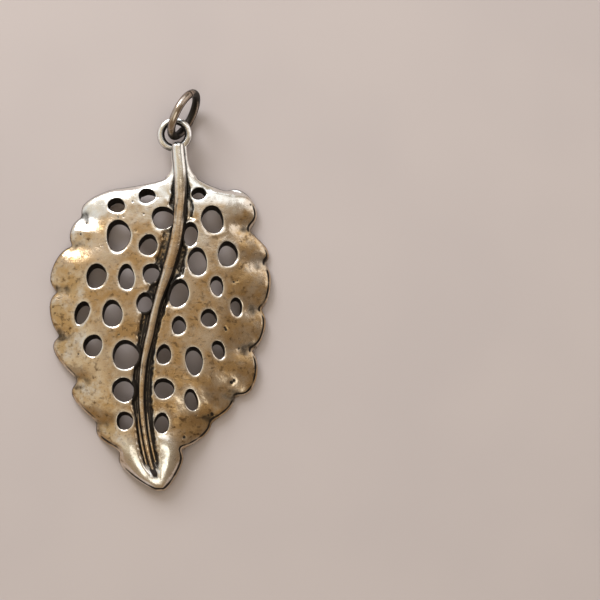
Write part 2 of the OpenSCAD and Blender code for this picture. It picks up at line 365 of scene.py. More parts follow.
# Filing turned the scallops and the notches into round waves, but not at the tip or on the strap.
# What the strokes take off their depth is given back, as a share of how far they stand out.
rounded = filed(outline, wave_strokes)
smoothed = filed(rounded, 5 * wave_strokes)
waves = rounded + wave_gain * (rounded - smoothed)
wave_share = smooth(*wave_fade_low, outline[:, 1:]) * smooth(*wave_fade_high, outline[:, 1:])
outline = outline + (waves - outline) * wave_share

# Each hole was opened by hand with a hot tool, so none is quite oval
loops = [outline]
for number, (sx, sy, a, b, turn) in enumerate(hole_shares):
    round_hole = np.linspace(0, -2 * math.pi, hole_points, endpoint=False)
    wander = 1 + 0.035 * np.cos(2 * round_hole + 1.7 * number)
    wander += 0.03 * np.cos(3 * round_hole + 2.9 * number)
    oval = np.column_stack([a * np.cos(round_hole), b * np.sin(round_hole)])
    local = hole_radius * wander[:, None] * oval
    c, s = math.cos(math.radians(turn)), math.sin(math.radians(turn))
    turned = local @ np.array(((c, s), (-s, c)))
    loops.append(resample(turned + np.array((sx * half_width, sy * leaf_length)), edge_step))
edges = np.vstack(loops)

# The tool went in at a slant from the stem's end of the leaf, so a hole is sharp at its upper side
# and rounded at its lower side: some more than others, and most of all high up the leaf
lower_side = np.array((0.30, -0.95))
to_metal = np.vstack([towards_metal(loop) for loop in loops])
below = smooth(-0.35, 0.45, to_metal @ lower_side)
is_hole_edge = np.concatenate([np.full(len(loop), i > 0) for i, loop in enumerate(loops)])
starts = np.cumsum([0] + [len(loop) for loop in loops])
ahead = np.concatenate([np.roll(np.arange(len(loop)), -1) + start for loop, start in zip(loops, starts)])
below = below * np.clip(0.72 + 0.75 * grain(edges, 1.9, 71.0), 0.25, 1)
higher = 0.85 + 0.65 * smooth(12, 42, edges[:, 1])
round_reach = hole_edge_reach * higher
round_drop = hole_edge_drop * (0.6 + 0.4 * higher)
hole_reach = sharp_edge_reach + (round_reach - sharp_edge_reach) * below
hole_drop = sharp_edge_drop + (round_drop - sharp_edge_drop) * below
reach_at = np.where(is_hole_edge, hole_reach, rim_edge_reach)
drop_at = np.where(is_hole_edge, hole_drop, rim_edge_drop)
behind = np.empty_like(ahead)
behind[ahead] = np.arange(len(ahead))
edge_tree = KDTree(len(edges))
for i, (x, y) in enumerate(edges):
    edge_tree.insert((x, y, 0), i)
edge_tree.balance()


def edge_distance(points):
    """Distance from each point to the nearest edge, and that edge's number."""
    near = np.array([edge_tree.find((x, y, 0))[1] for x, y in points])
    best = np.full(len(points), np.inf)
    for other in (ahead[near], behind[near]):
        a, run = edges[near], edges[other] - edges[near]
        t = np.clip(np.sum((points - a) * run, axis=1) / np.sum(run * run, axis=1), 0, 1)
        best = np.minimum(best, np.linalg.norm(points - a - run * t[:, None], axis=1))
    return best, near


# Points of the sheet: the edges, rings beside them where they round over, and an even field. A
# ring's point is dropped where another edge is nearer than its own.
ring_slack = 0.96
rings = []
for share in ring_shares:
    ring = edges + to_metal * share * reach_at[:, None]
    rings.append(ring[edge_distance(ring)[0] > ring_slack * share * reach_at])
row_step = sheet_step * math.sqrt(3) / 2
low, high = outline.min(axis=0), outline.max(axis=0)
rows = []
for i, y in enumerate(np.arange(low[1], high[1], row_step)):
    row_x = np.arange(low[0] + (i % 2) * sheet_step / 2, high[0], sheet_step)
    rows.append(np.column_stack([row_x, np.full(len(row_x), y)]))
field = np.vstack(rows)
field = field[inside(field, outline)]
gap, near = edge_distance(field)
field = field[gap > reach_at[near] * ring_shares[-1] + 0.5 * sheet_step]
for loop in loops[1:]:
    field = field[~inside(field, loop)]

seeds = np.vstack([edges, *rings, field])
links = [(i, int(ahead[i])) for i in range(len(edges))]
made = delaunay_2d_cdt([Vector(p) for p in seeds], links, [], 0, 1e-6)
sheet = np.array([v[:] for v in made[0]])
new_place = {old: new for new, olds in enumerate(made[3]) for old in olds}
triangles = np.array(made[2])
middles = sheet[triangles].mean(axis=1)
kept = inside(middles, outline)
for loop in loops[1:]:
    kept &= ~inside(middles, loop)
triangles = triangles[kept]

# Heights of the front and the back
top, wall, to_rim, valley = dome(sheet)
slope_step = 0.2
slope = np.column_stack([
    (dome(sheet + np.array(step))[0] - dome(sheet - np.array(step))[0]) / (2 * slope_step)
    for step in ((slope_step, 0), (0, slope_step))])
gap, near = edge_distance(sheet)
by_hole = is_hole_edge[near]


def round_over(distance, reach, drop):
    """Drop of a rounded edge at a distance from it."""
    left = np.clip(1 - distance / reach, 0, 1)
    return drop * (1 - np.sqrt(1 - left ** 2))


# The trough, with an uneven lip on which the gouge left a burr
burr_height = 0.05
x, y = sheet.T
off = (x - spine_x(y)) / np.sqrt(1 + spine_bend(y) ** 2)
lip = trough_reach * np.where(off < 0, tenths(left_trough_shares, y), tenths(right_trough_shares, y))
lip = lip * (1 + 0.16 * grain(sheet, 1.1, 3.0) + 0.10 * grain(sheet, 0.45, 5.0))
in_trough = 1 - smooth(0.66, 1.0, np.abs(off) / lip)
trough_fade = trough_share(y)
lip_burr = burr_height * np.exp(-((np.abs(off) / lip - 1.12) / 0.14) ** 2) * trough_fade
lip_burr = lip_burr * (1 + grain(sheet, 1.5, 7.0))

# Two pillows stand beside the midrib at the tip: the line of the crest, its breadth and height
pillows = [([(-5.1, 8.8), (-4.7, 6.4), (-3.8, 4.6), (-2.4, 2.7), (-1.6, 1.9)], 1.6, 0.45),
           ([(0.9, 8.4), (1.4, 6.4), (1.2, 4.4), (0.5, 2.6)], 1.7, 0.55)]
swelling = np.zeros(len(sheet))
for crest, breadth, height in pillows:
    away = np.full(len(sheet), np.inf)
    for start, end in zip(crest, crest[1:]):
        away = np.minimum(away, beside_line(sheet, np.array(start), np.array(end))[1])
    swelling += height * np.exp(-(away / breadth) ** 2) * smooth(10.2, 7.0, y)

# Pits and folds that the casting was left with: place and reach
flaws = [(11.4, 17.3, 0.5), (11.9, 17.6, 0.35), (8.3, 12.2, 0.5), (7.8, 12.1, 0.3), (4.0, 8.6, 0.4),
         (10.6, 25.6, 0.4), (10.4, 26.0, 0.3), (11.8, 33.3, 0.35), (12.4, 33.5, 0.25), (12.6, 22.7, 0.25),
         (-6.7, 43.8, 0.25), (-5.8, 43.8, 0.2), (-3.8, 41.5, 0.25), (-12.8, 41.1, 0.3), (-11.9, 42.9, 0.35)]
flawed = np.zeros(len(sheet))
for fx, fy, reach in flaws:
    away = np.hypot(x - fx, y - fy) * (1 + 0.5 * grain(sheet, 0.5, fx))
    flawed = np.maximum(flawed, 1 - smooth(0.3 * reach, 1.2 * reach, away))

# The surface that the hand left on the wax: height, size and seed of its lumps
unevenness = [(0.09, 3.6, 11.0), (0.03, 1.6, 13.0), (0.010, 0.7, 15.0)]
relief = swelling - flaw_depth * flawed + lip_burr - trough_depth * trough_fade * in_trough
relief += sum(height * grain(sheet, size, seed) for height, size, seed in unevenness)
calm = smooth(0, calm_edge, gap)
front = top + relief * calm - round_over(gap, reach_at[near], drop_at[near])
back = top - wall + 0.07 * grain(sheet, 3.0, 21.0) * calm
back = back + round_over(gap, back_edge_reach, back_edge_reach)
back = np.minimum(back, front - least_wall)

# Hole walls stand nearly square to the dome, and slant towards the tip as the tool did, so the
# back of each hole is shifted
lean = slope * wall[:, None] * square_share + hole_slant * np.array((0.1, -1.0))
shifted = smooth(0.2, 1.4, (1 - to_rim) * half_width) * smooth(1, 4, y) * (y < leaf_length)
under = sheet + lean * shifted[:, None]
points = np.vstack([np.column_stack([sheet, front]), np.column_stack([under, back])])
half = len(sheet)
faces = triangles.tolist() + (triangles[:, ::-1] + half).tolist()
for i in range(len(edges)):
    a, b = new_place[i], new_place[int(ahead[i])]
    faces.append((a, a + half, b + half, b))

# Patina gathers in the trough and beside the midrib, on the hole walls and in the flaws, and darker smudges
# lie at the upper sides of the holes. Painted shade lies in a line along the rim and in the valleys from the
# notches, and it darkens the back towards the tip.
wall_dark_reach = 0.10
smudge_reach = 0.75
line_inset = 0.34
line_breadth = 0.17
valley_shade_strength = 0.62
flaw_darkness = 0.8
back_shade_strength = 0.28
lower_right_rim = np.array((-0.6, 0.8))
streaks = grain(np.column_stack([off * 5, y]), 1.7, 61.0) + 0.5 * grain(sheet, 0.5, 63.0)
trough_dark = (1 - smooth(0.72, 1.02, np.abs(off) / lip)) * tenths(trough_dark_shares, y) * trough_fade
trough_dark = trough_dark * np.clip(0.90 + (0.4 + 0.7 * smooth(20, 32, y)) * streaks, 0, 1)
beside_stem = np.abs(off) - stem_half(y)
beside_dark = 1 - smooth(0.05, 0.34 + 0.1 * grain(sheet, 0.8, 41.0), beside_stem)
trough_dark = np.maximum(trough_dark, beside_dark * (1 - 0.45 * smooth(leaf_length - 1, leaf_length + 1, y)))
above = 1 - below[near]
wall_dark = (1 - smooth(0.0, wall_dark_reach, gap)) * by_hole
blotches = np.clip(0.42 + 0.4 * grain(sheet, 0.6, 43.0), 0, 0.55)
smudge = above * by_hole * (1 - smooth(0.0, smudge_reach, gap)) * blotches
# Painted shade: a dark line along the rim, set in from the edge on the lower right sides that face away from
# the light, and at the very edge on the other sides, standing in for the rim's shaded wall and the shadow
# under it
shaded = smooth(-0.4, 0.5, to_metal[near] @ lower_right_rim)
broken = np.clip(0.80 + 0.45 * grain(sheet, 1.3, 67.0), 0, 1)
painted_shade_line = 1.2 * np.exp(-((gap - line_inset) / line_breadth) ** 2) * shaded * broken
painted_edge_shade = 0.8 * np.exp(-(gap / line_breadth) ** 2) * (1 - shaded)
painted_rim_shade = np.maximum(painted_shade_line, painted_edge_shade) * ~by_hole * (y < leaf_length)
# Painted shade: a soft dark band along each valley that runs in from a notch
uneven = np.clip(0.75 + 0.7 * grain(sheet, 1.4, 31.0), 0, 1)
painted_valley_shade = valley_shade_strength * smooth(0.22, 0.85, valley) * uneven
front_dark = np.maximum.reduce([
    trough_dark * smooth(1.0, 3.0, y), wall_dark, smudge, painted_rim_shade, painted_valley_shade, flaw_darkness * flawed])
# Painted shade: the back is darkened towards the tip, which deepens the shade under the leaf
painted_back_shade = back_shade_strength * (1 - smooth(24, 50, y + 5 * grain(sheet, 5.0, 39.0)))
back_dark = np.maximum.reduce([wall_dark, 0.35 * smooth(0.2, 0.8, grain(sheet, 2.2, 37.0)), painted_back_shade])
patina = np.concatenate([front_dark, back_dark])

# Points that no face uses are dropped
used = np.unique(np.concatenate([np.array(f) for f in faces]))
renumber = np.full(len(points), -1)
renumber[used] = np.arange(len(used))


def put(name, data):
    """New object in the scene."""
    thing = bpy.data.objects.new(name, data)
    bpy.context.scene.collection.objects.link(thing)
    return thing


def store(mesh, name, values):
    """Gives each point of a mesh its value of a field."""
    mesh.attributes.new(name, "FLOAT", "POINT").data.foreach_set("value", values.astype(np.float32))


blade_mesh = bpy.data.meshes.new("pierced_blade")
placed = (points[used] + np.array((0, tip_y, 0))) * MM
blade_mesh.from_pydata(placed.tolist(), [], [[int(renumber[i]) for i in f] for f in faces])
blade_mesh.shade_smooth()
blade = put("pierced_blade", blade_mesh)
store(blade_mesh, "patina", patina[used])

# The polishing wheel took the tarnish off the shoulders, the pillows, the edges of the holes and a
# few high patches: place, reach and share of these
rubbed = [(6.6, 40.2, 1.8, 0.6), (-5.6, 43.6, 2.0, 0.4), (3.6, 36.0, 1.4, 0.5), (-9.2, 38.2, 2.6, 0.35),
          (7.8, 24.6, 2.0, 0.35), (-9.6, 19.6, 2.4, 0.3)]
shoulder_wear = 0.95
hole_edge_wear = 0.55
hole_edge_wear_reach = 0.75
bright_pillow = 0.5
back_wear = 0.5
worn_from = 0.90 - 0.065 * smooth(0.35, 0.75, -x / half_width)
wheel = y / leaf_length - worn_from + 0.05 * grain(sheet, 3.2, 51.0) + 0.03 * grain(sheet, 0.9, 53.0)
shoulders = shoulder_wear * smooth(-0.045, 0.03, wheel)
hole_edges = hole_edge_wear * (1 - smooth(0.0, hole_edge_wear_reach, gap)) * by_hole
worn = np.maximum.reduce([shoulders, hole_edges, swelling / bright_pillow])
for wx, wy, reach, share in rubbed:
    away = np.hypot(x - wx, y - wy) / reach * (1 + 0.35 * grain(sheet, 1.2, wx))
    worn = np.maximum(worn, share * np.exp(-away ** 2))
worn = np.concatenate([worn, np.full(len(sheet), back_wear)])
store(blade_mesh, "worn", worn[used])


class Socket:
    """A node's output, on which plain arithmetic adds Math nodes."""

    def __init__(self, board, link):
        self.board, self.link = board, link

    def math(self, operation, *values):
        return self.board.add("ShaderNodeMath", {"operation": operation}, dict(enumerate(values)))

    def __add__(self, other):
        return self.math("ADD", self, other)

    def __sub__(self, other):
        return self.math("SUBTRACT", self, other)

    def __rsub__(self, other):
        return self.math("SUBTRACT", other, self)

    def __mul__(self, other):
        return self.math("MULTIPLY", self, other)

    def __gt__(self, other):
        return self.math("GREATER_THAN", self, other)

    def __lt__(self, other):
        return self.math("LESS_THAN", self, other)

    __radd__, __rmul__ = __add__, __mul__


class Board:
    """A node tree, and the one way in which nodes are added to it."""

    def __init__(self, tree):
        self.tree = tree

    def add(self, kind, settings=None, inputs=None, out=0):
        node = self.tree.nodes.new(kind)
        for name, value in (settings or {}).items():
            setattr(node, name, value)
        by_name = {s.name: s for s in reversed(node.inputs)} | {s.identifier: s for s in node.inputs}
        for name, value in (inputs or {}).items():
            socket = node.inputs[name] if isinstance(name, int) else by_name[name]
            if isinstance(value, Socket):
                self.tree.links.new(value.link, socket)
            else:
                socket.default_value = value
        outputs = {s.name: s for s in reversed(node.outputs)} | {s.identifier: s for s in node.outputs}
        outputs |= dict(enumerate(node.outputs))
        return Socket(self, outputs.get(out))

    def ease(self, value, low, high, start=0.0, end=1.0):
        """Eased step of a value."""
        return self.add("ShaderNodeMapRange", {"interpolation_type": "SMOOTHSTEP"},
                        {"Value": value, "From Min": low, "From Max": high, "To Min": start, "To Max": end})

    def mix(self, share, a, b):
        """Colour between two others."""
        return self.add("ShaderNodeMix", {"data_type": "RGBA"},
                        {"Factor_Float": share, "A_Color": a, "B_Color": b}, "Result_Color")

    def lumps(self, where, size, detail=2.0, rough=0.5):
        """Noise in lumps of about that size in metres."""
        return self.add("ShaderNodeTexNoise", None,
                        {"Vector": where, "Scale": 1 / size, "Detail": detail, "Roughness": rough})


def empty_board(owner):
    """Cleared node tree of a material or a world."""
    owner.use_nodes = True
    owner.node_tree.nodes.clear()
    return Board(owner.node_tree)


soot_and_shade_colour = (0.022, 0.017, 0.013, 1)
pit_spacing = 0.0021


def antique_silver(name, bright, warm, dark, gloss, pits=0.0):
    """Burnished silver plate: mottled tarnish, patina in the hollows and painted shade where the piece marks
    it, fine scratches and pits.
    """
    material = bpy.data.materials.new(name)
    board = empty_board(material)
    where = board.add("ShaderNodeTexCoord", out="Object")

    # Tarnish lies in broad mottles, but not where the metal is worn bright
    mottle = board.ease(board.lumps(where, 0.0038, detail=4.0, rough=0.68), 0.36, 0.60)
    worn = board.add("ShaderNodeAttribute", {"attribute_name": "worn"}, out="Fac")
    tarnish = (0.58 + 0.42 * mottle) * (1 - worn)
    colour = board.mix(tarnish, bright, warm)

    # Dark specks, and scratches that run across the leaf
    speckle = board.ease(board.lumps(where, 0.0008, detail=3.0, rough=0.62), 0.52, 0.68)
    streak = board.add("ShaderNodeMapping", None, {"Vector": where, "Scale": (0.32, 1.0, 1.0)})
    scratch = board.ease(board.lumps(streak, 0.00045, rough=0.6), 0.60, 0.70)
    marks = (speckle * 0.85 + scratch * 0.55) * (0.40 + 0.60 * mottle) * (1 - 0.8 * worn)
    colour = board.mix(marks, colour, dark)

    # Soot in the hollows and painted shade, both read from the piece, and soot in the pits, which a share of
    # evenly spread dots become
    held = board.add("ShaderNodeAttribute", {"attribute_name": "patina"}, out="Fac")
    ragged = board.lumps(where, 0.0005, detail=3.0, rough=0.7) - 0.5
    hollow_and_shade = board.ease(held + ragged * 0.6 * held, 0.25, 0.75)
    dots, tints = (
        board.add("ShaderNodeTexVoronoi", None, {"Vector": where, "Scale": 1 / pit_spacing}, out)
        for out in ("Distance", "Color"))
    chance = board.add("ShaderNodeSeparateColor", None, {"Color": tints})
    pit = board.ease(dots, 0.13, 0.05) * (chance > 1 - pits)
    soot_and_shade_share = hollow_and_shade.math("MAXIMUM", hollow_and_shade, pit * 0.85)
    colour = board.mix(soot_and_shade_share, colour, soot_and_shade_colour)

    # A fine unevenness, in which pits and scratches are sunk
    roughness = gloss + 0.10 * mottle + 0.10 * speckle + 0.30 * soot_and_shade_share
    waves = board.lumps(where, 0.0013, detail=3.0, rough=0.55)
    ripples = board.lumps(where, 0.00035)
    height = waves * 0.6 + ripples * 0.2 - pit * 0.7 - scratch * 0.1
    bump = board.add("ShaderNodeBump", None, {"Height": height, "Strength": 0.5, "Distance": 0.0001})
    shader = board.add("ShaderNodeBsdfPrincipled", None, {
        "Base Color": colour, "Metallic": 1 - 0.25 * soot_and_shade_share, "Roughness": roughness, "Normal": bump})
    board.add("ShaderNodeOutputMaterial", None, {"Surface": shader})
    return material


blade_mesh.materials.append(antique_silver(
    "blade_silver", bright=(0.94, 0.93, 0.90, 1), warm=(0.565, 0.388, 0.20, 1),
    dark=(0.16, 0.10, 0.05, 1), gloss=0.14, pits=0.24))
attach(blade, "leaf")
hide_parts("leaf_blade")


# The midrib: a tapering wire that runs up the trough from the tip, over the strap and on to the
# eye. On the wax it was a separate thread, pressed down and smoothed at both ends.
stem_height_share = 0.8
stem_seat = 0.1


def wire_tree():
    """Curve in, wire out: an oval section as wide as the curve's radius, with a hand-made waver."""
    tree = bpy.data.node_groups.new("drawn_wire", "GeometryNodeTree")
    tree.interface.new_socket("Geometry", in_out="OUTPUT", socket_type="NodeSocketGeometry")
    for name, kind in (("Geometry", "Geometry"), ("Sides", "Int"), ("Height Share", "Float"),
                       ("Waver", "Float"), ("Waver Size", "Float"), ("Dip", "Float"),
                       ("Dip Size", "Float"), ("Seed", "Float"), ("Material", "Material")):
        tree.interface.new_socket(name, in_out="INPUT", socket_type="NodeSocket" + kind)
    board = Board(tree)
    given = {s.name: Socket(board, s) for s in tree.nodes.new("NodeGroupInput").outputs}
    upright = board.add("GeometryNodeSetCurveNormal", {"mode": "Z_UP"}, {"Curve": given["Geometry"]})
    circle = board.add("GeometryNodeCurvePrimitiveCircle", None,
                       {"Resolution": given["Sides"], "Radius": 1.0})
    stretch = board.add("ShaderNodeCombineXYZ", None, {"X": 1.0, "Y": given["Height Share"], "Z": 1.0})
    section = board.add("GeometryNodeTransform", None, {"Geometry": circle, "Scale": stretch})
    width = board.add("GeometryNodeInputRadius")
    wire = board.add("GeometryNodeCurveToMesh", None,
                     {"Curve": upright, "Profile Curve": section, "Scale": width, "Fill Caps": True})
    place = board.add("GeometryNodeInputPosition")
    waver = board.add("ShaderNodeTexNoise", {"noise_dimensions": "4D"}, {
        "Vector": place, "W": given["Seed"], "Scale": given["Waver Size"], "Detail": 2.0})
    dip = board.add("ShaderNodeTexNoise", {"noise_dimensions": "4D"}, {
        "Vector": place, "W": given["Seed"] + 7.0, "Scale": given["Dip Size"], "Detail": 1.0})
    normal = board.add("GeometryNodeInputNormal")
    push = board.add("ShaderNodeVectorMath", {"operation": "SCALE"},
                     {"Vector": normal, "Scale": (waver - 0.5) * given["Waver"]})
    sink = board.add("ShaderNodeCombineXYZ", None, {"Z": (dip - 0.5) * given["Dip"]})
    shift = board.add("ShaderNodeVectorMath", {"operation": "ADD"}, {0: push, 1: sink})
    moved = board.add("GeometryNodeSetPosition", None, {"Geometry": wire, "Offset": shift})
    smooth_wire = board.add("GeometryNodeSetShadeSmooth", None, {"Geometry": moved})
    real = board.add("GeometryNodeRealizeInstances", None, {"Geometry": smooth_wire})
    dressed = board.add("GeometryNodeSetMaterial", None, {"Geometry": real, "Material": given["Material"]})
    out = tree.nodes.new("NodeGroupOutput")
    tree.links.new(dressed.link, out.inputs[0])
    return tree


drawn_wire = wire_tree()


def weather(piece, **fields):
    """Stores the patina and painted shade, and the wear of a wire: functions of its points in millimetres
    and normals.
    """
    mesh = piece.data
    flat = np.empty(3 * len(mesh.vertices))
    mesh.vertices.foreach_get("co", flat)
    spots = flat.reshape(-1, 3) / MM
    mesh.vertices.foreach_get("normal", flat)
    for name, field in fields.items():
        store(mesh, name, field(spots, flat.reshape(-1, 3)))


def draw_wires(name, paths, material, cyclic=False, **inputs):
    """Wires along paths of the drawing, each a list of x, y, z and radius; inputs go to the node tree."""
    curve = bpy.data.curves.new(name, "CURVE")
    curve.dimensions = "3D"
    for path in paths:
        spline = curve.splines.new("POLY")
        spline.points.add(len(path) - 1)
        spline.use_cyclic_u = cyclic
        for point, (px, py, pz, radius) in zip(spline.points, path):
            point.co = (px * MM, (py + tip_y) * MM, pz * MM, 1)
            point.radius = radius * MM
    inputs["material"] = material
    guide = put(name + "_guide", curve)
    modifier = guide.modifiers.new("wire", "NODES")
    modifier.node_group = drawn_wire
    for item in drawn_wire.interface.items_tree:
        key = item.name.lower().replace(" ", "_")
        if item.in_out == "INPUT" and key in inputs:
            modifier[item.identifier] = inputs[key]
    mesh = bpy.data.meshes.new_from_object(guide.evaluated_get(bpy.context.evaluated_depsgraph_get()))
    mesh.name = name
    piece = put(name, mesh)
    bpy.data.objects.remove(guide)
    return piece


def bed(y):
    """Height of the trough's floor under the midrib."""
    y = np.asarray(y, float)
    top = rim_thickness + valley_depth + crown_height * tenths(crown_shares, y)
    return top - trough_depth * trough_share(y)


stem_low, stem_high = 0.02 * leaf_length, eye_y - eye_radius + 0.7 * eye_wire
stem_end_share = 0.012
least_radius = 0.02
stem_steps = np.concatenate([[0, 0.0015, 0.004, 0.008], np.linspace(0.014, 0.99, 160), [0.995, 0.998, 1]])
stem_path = []
for t in stem_steps:
    sy = stem_low + (stem_high - stem_low) * t
    from_tip, from_eye = (math.sqrt(min(run / stem_end_share, 1)) for run in (t, 1 - t))
    end = min(1.0, from_tip, from_eye + 0.1)
    width = float(stem_half(sy))
    z = float(bed(sy)) - stem_seat + stem_height_share * width
    stem_path.append((float(spine_x(sy)), sy, z, max(width * end, least_radius)))
stem_metal = antique_silver(
    "stem_silver", bright=(0.95, 0.93, 0.89, 1), warm=(0.56, 0.40, 0.24, 1),
    dark=(0.12, 0.07, 0.04, 1), gloss=0.15)
stem = draw_wires(
    "midrib_wire", [stem_path], stem_metal,
    sides=32, height_share=stem_height_share, waver=0.10 * MM, waver_size=420.0, seed=1.0)


def stem_patina_and_shade(spots, normals):
    """Soot low on both flanks and in long scratches; painted shade higher up on the right flank, which faces
    away from the light, and at the top end, under the eye.
    """
    lines = grain(np.column_stack([normals[:, 0] * 4, spots[:, 1] / 5]), 1.0, 81.0)
    right = 0.9 * smooth(0.34, 0.68, normals[:, 0] + 0.25 * lines) * smooth(24, 12, spots[:, 1])
    scratched = 0.6 * smooth(0.12, 0.42, lines)
    end = smooth(0.25, 0.6, normals[:, 1]) * smooth(23, 24, spots[:, 1])
    return np.maximum.reduce([1 - smooth(0.25, 0.80, normals[:, 2]), right, scratched, end])


weather(stem, patina=stem_patina_and_shade, worn=lambda spots, normals: smooth(13.0, 20.0, spots[:, 1]))
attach(stem, "leaf")
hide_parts("midrib_stem")


# The two side veins and the chased lines: fine ridges that follow the midrib in its trough. They
# are what was left of the wax between scored lines, and stand up thin from the dark floor.
vein_width = 0.45
vein_gap = 0.75
vein_start_share = 0.055
vein_length_share = 0.19
chased_shares = (0.18, 0.45, 0.72)
chased_clearance = 0.35


def beside_spine(y, offset):
    """Point of the drawing beside the midrib."""
    bend = float(spine_bend(y))
    size = math.hypot(bend, 1)
    return float(spine_x(y)) + offset / size, y - offset * bend / size


vein_paths = []
for side in (-1, 1):
    path = []
    for t in np.linspace(0, 1, 60):
        vy = leaf_length * (vein_start_share + vein_length_share * t)
        width = vein_width * (0.35 + 0.65 * math.sin(math.pi * t)) / 2
        px, py = beside_spine(vy, side * vein_gap)
        path.append((px, py, float(bed(vy)) - stem_seat + width, width))
    vein_paths.append(path)
veins = draw_wires(
    "side_vein_pair", vein_paths, stem_metal,
    sides=12, height_share=1.0, waver=0.06 * MM, waver_size=900.0, seed=4.0)
weather(veins, patina=lambda spots, normals: 0.9 - 0.7 * smooth(0.2, 0.8, normals[:, 2]))
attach(veins, "leaf")
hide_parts("side_veins")

# The chased lines fill the rest of the trough, three to a side, and break off at the holes
chased_paths = []
for side, lips in ((-1, left_trough_shares), (1, right_trough_shares)):
    for rank, share in enumerate(chased_shares):
        line = []
        for cy in np.linspace(0.09, 0.93, 200) * leaf_length:
            wire_half = float(stem_half(cy))
            lip_here = trough_reach * float(tenths(lips, cy))
            wander = 0.12 * noise.noise(Vector((cy / 2.0, rank * 5.0, side * 3.0)))
            offset = wire_half + share * max(lip_here - wire_half, 0.1) + wander
            swell = max(0.5 + noise.noise(Vector((cy / 1.3, rank * 9.0, side * 2.0))), 0)
            line.append((*beside_spine(cy, side * offset), float(bed(cy)), 0.03 + 0.07 * swell))
        spots = np.array(line)[:, :2]
        clear = edge_distance(spots)[0] > chased_clearance
        for loop in loops[1:]:
            clear &= ~inside(spots, loop)
        for whole, run in itertools.groupby(zip(clear, line), key=lambda pair: pair[0]):
            path = [point for _, point in run]
            if whole and len(path) > 6:
                chased_paths.append(path)
chased = draw_wires(
    "chased_lines", chased_paths, stem_metal,
    sides=8, height_share=1.0, waver=0.05 * MM, waver_size=1500.0, dip=0.35 * MM, dip_size=500.0, seed=9.0)
weather(chased, patina=lambda spots, normals: 1 - 0.5 * smooth(0.6, 1.0, normals[:, 2]))
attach(chased, "leaf")


# The hanging eye: a ring of round wire at the end of the strap, cast in one with it. The jump
# ring has rubbed its wire bright.
eye_low, eye_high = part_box("hanging_eye")
eye_middle = (eye_low + eye_high) / (2 * MM)
eye_path = []
for turn in np.linspace(0, 2 * math.pi, 96, endpoint=False):
    eye_path.append((eye_middle.x + eye_radius * math.cos(turn),
                     eye_middle.y - tip_y + eye_radius * math.sin(turn), eye_middle.z, eye_wire / 2))
eye_metal = antique_silver(
    "eye_silver", bright=(0.97, 0.97, 0.96, 1), warm=(0.60, 0.50, 0.38, 1),
    dark=(0.14, 0.10, 0.07, 1), gloss=0.12)
eye = draw_wires(
    "eye_ring", [eye_path], eye_metal, cyclic=True,
    sides=32, height_share=1.0, waver=0.10 * MM, waver_size=500.0, seed=12.0)


def painted_eye_shade(spots, normals):
    """Painted shade on the side of the eye's wire that faces its hole, low down on its flanks, and at the
    strap.
    """
    from_middle = spots - np.array(eye_middle)
    size = np.linalg.norm(from_middle[:, :2], axis=1)
    facing = -np.sum(normals[:, :2] * from_middle[:, :2], axis=1) / size
    low = 0.95 * (1 - smooth(0.20, 0.55, normals[:, 2]))
    shade_at_strap = 0.6 * smooth(-1.7, -2.4, from_middle[:, 1])
    return np.maximum.reduce([smooth(0.15, 0.6, facing), low, shade_at_strap])


weather(eye, patina=painted_eye_shade, worn=lambda spots, normals: np.full(len(spots), 1.0))
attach(eye, "leaf")
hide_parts("hanging_eye")


# The jump ring: round wire wound on a rod, sawn off as an open ring and closed by hand, so that
# a hairline cut is left. It hangs free in the eye.
ring_wire = 1.3
ring_outside = 8.8
saw_cut = 0.12
ring_radius = (ring_outside - ring_wire) / 2
ring_gap_turn = math.degrees(saw_cut / ring_radius)
cut_turn = 38
mount = frame["record"]["mounts"][0]
ring_middle = Vector(mount["pos_m"]) / MM
ring_axis = Vector(mount["axis"]).normalized()
outwards = Vector((-ring_axis.y, ring_axis.x, 0)).normalized()
upwards = ring_axis.cross(outwards)
ring_path = []
first_turn, last_turn = cut_turn + ring_gap_turn / 2, cut_turn + 360 - ring_gap_turn / 2
for turn in np.radians(np.linspace(first_turn, last_turn, 120)):
    p = ring_middle + ring_radius * (math.cos(turn) * outwards + math.sin(turn) * upwards)
    ring_path.append((p.x, p.y - tip_y, p.z, ring_wire / 2))
ring_metal = antique_silver(
    "ring_silver", bright=(0.68, 0.63, 0.57, 1), warm=(0.36, 0.28, 0.22, 1),
    dark=(0.08, 0.06, 0.04, 1), gloss=0.15)
ring = draw_wires(
    "open_jump_ring", [ring_path], ring_metal,
    sides=32, height_share=1.0, waver=0.03 * MM, waver_size=700.0, seed=15.0)


def painted_ring_shade(spots, normals):
    """Painted shade on the side of the ring's wire that faces its middle, low down on its flanks, and near
    the eye.
    """
    from_middle = spots - np.array(ring_middle)
    shade_near_eye = 1 - smooth(1.6, 4.2, np.linalg.norm(spots - np.array(eye_middle), axis=1))
    shade_inside_ring = smooth(0.1, 0.8, -np.sum(normals * from_middle, axis=1) / ring_radius)
    low = 0.8 * (1 - smooth(0.25, 0.75, normals[:, 2]))
    return np.maximum.reduce([0.9 * shade_inside_ring, 0.5 * shade_near_eye, low])


weather(ring, patina=painted_ring_shade)
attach(ring, "ring")
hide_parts("jump_ring")


